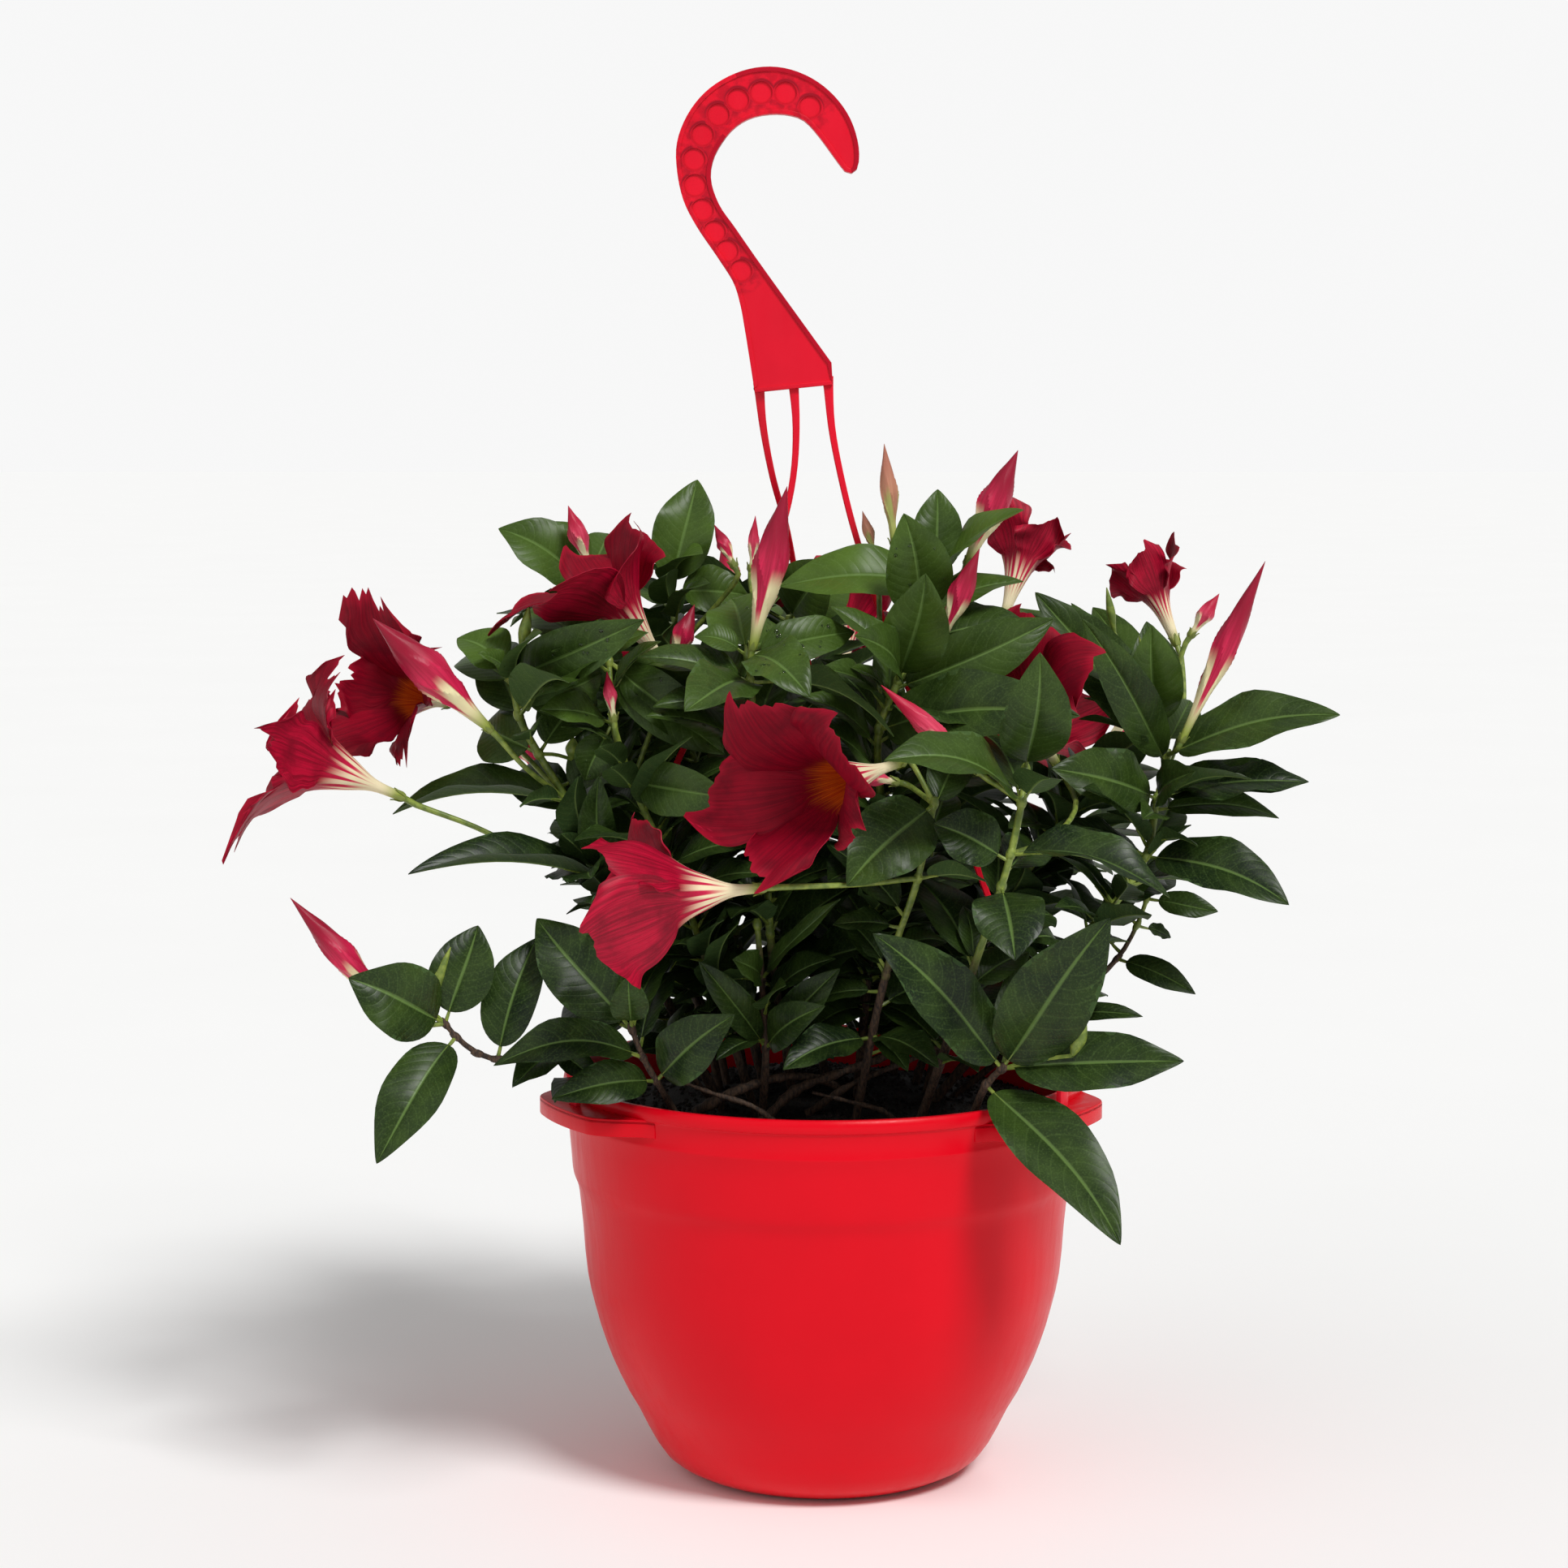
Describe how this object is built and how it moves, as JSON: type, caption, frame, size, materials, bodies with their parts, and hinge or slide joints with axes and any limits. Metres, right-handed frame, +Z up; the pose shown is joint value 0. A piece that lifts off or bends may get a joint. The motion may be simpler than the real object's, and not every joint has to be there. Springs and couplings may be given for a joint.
{
  "type": "mandevilla in a hanging pot",
  "caption": "Flowering mandevilla with crimson trumpet blooms, pointed buds and glossy leaves, growing in a red moulded hanging pot with a strap hanger and hook.",
  "frame": {"origin": "middle of the pot base underside, on the surface the pot stands on", "axes": "+Z up along the pot axis; +X to the right and -Y towards the viewer, in front of the pot; the hook lies in the X-Z plane"},
  "size_m": [0.5247, 0.4471, 0.682],
  "materials": {
    "pot_red": "satin moulded plastic",
    "hanger_red": "satin moulded plastic",
    "potting_soil": "moist peat crumbs",
    "leaf_green": "glossy leaf, paler underneath",
    "petal_crimson": "soft velvety petal, cream tube",
    "bud_pink": "furled petal, pale at the foot",
    "bud_crimson": "furled petal, pale at the foot",
    "bud_tan": "furled petal, cream"
  },
  "bodies": {
    "root": {"pot": "pot_red", "soil": "potting_soil", "hanger": "hanger_red", "shoot_left_high": "leaf_green", "shoot_left_back": "leaf_green", "shoot_left_mid": "leaf_green", "shoot_centre_left": "leaf_green", "shoot_centre": "leaf_green", "shoot_centre_back": "leaf_green", "shoot_centre_right": "leaf_green", "shoot_right_front": "leaf_green", "shoot_middle_front": "leaf_green", "shoot_right_high": "leaf_green", "shoot_right_low": "leaf_green", "shoot_rim_right": "leaf_green", "shoot_trailing_left": "leaf_green", "shoot_rim_left": "leaf_green", "shoot_inner_front": "leaf_green", "shoot_back_0": "leaf_green", "shoot_back_1": "leaf_green", "shoot_back_2": "leaf_green", "shoot_back_3": "leaf_green", "shoot_back_4": "leaf_green", "shoot_back_5": "leaf_green", "shoot_back_6": "leaf_green", "shoot_back_7": "leaf_green", "shoot_back_8": "leaf_green", "bloom_far_left": "petal_crimson", "bloom_left_back": "petal_crimson", "bloom_upper_left": "petal_crimson", "bloom_centre": "petal_crimson", "bloom_front_trumpet": "petal_crimson", "bloom_right_centre": "petal_crimson", "bloom_upper_right": "petal_crimson", "bloom_right_back": "petal_crimson", "bloom_middle_back": "petal_crimson", "bloom_back_left": "petal_crimson", "bloom_back_right": "petal_crimson", "bud_left_pink": "bud_pink", "bud_red_short": "bud_crimson", "bud_pink_small": "bud_pink", "bud_centre_large": "bud_crimson", "bud_inner_left": "bud_crimson", "bud_tan_top": "bud_tan", "bud_tan_small": "bud_tan", "bud_red_top": "bud_crimson", "bud_magenta_top": "bud_crimson", "bud_magenta_low": "bud_crimson", "bud_long_front": "bud_pink", "bud_long_right": "bud_crimson", "bud_right_small": "bud_pink", "bud_trailing": "bud_crimson", "bud_left_low": "bud_pink", "bud_left_large": "bud_crimson", "bud_behind_bloom": "bud_pink", "bud_back_upper": "bud_crimson", "bud_back_lower": "bud_crimson", "bud_back_side": "bud_pink"}
  },
  "joints": []
}
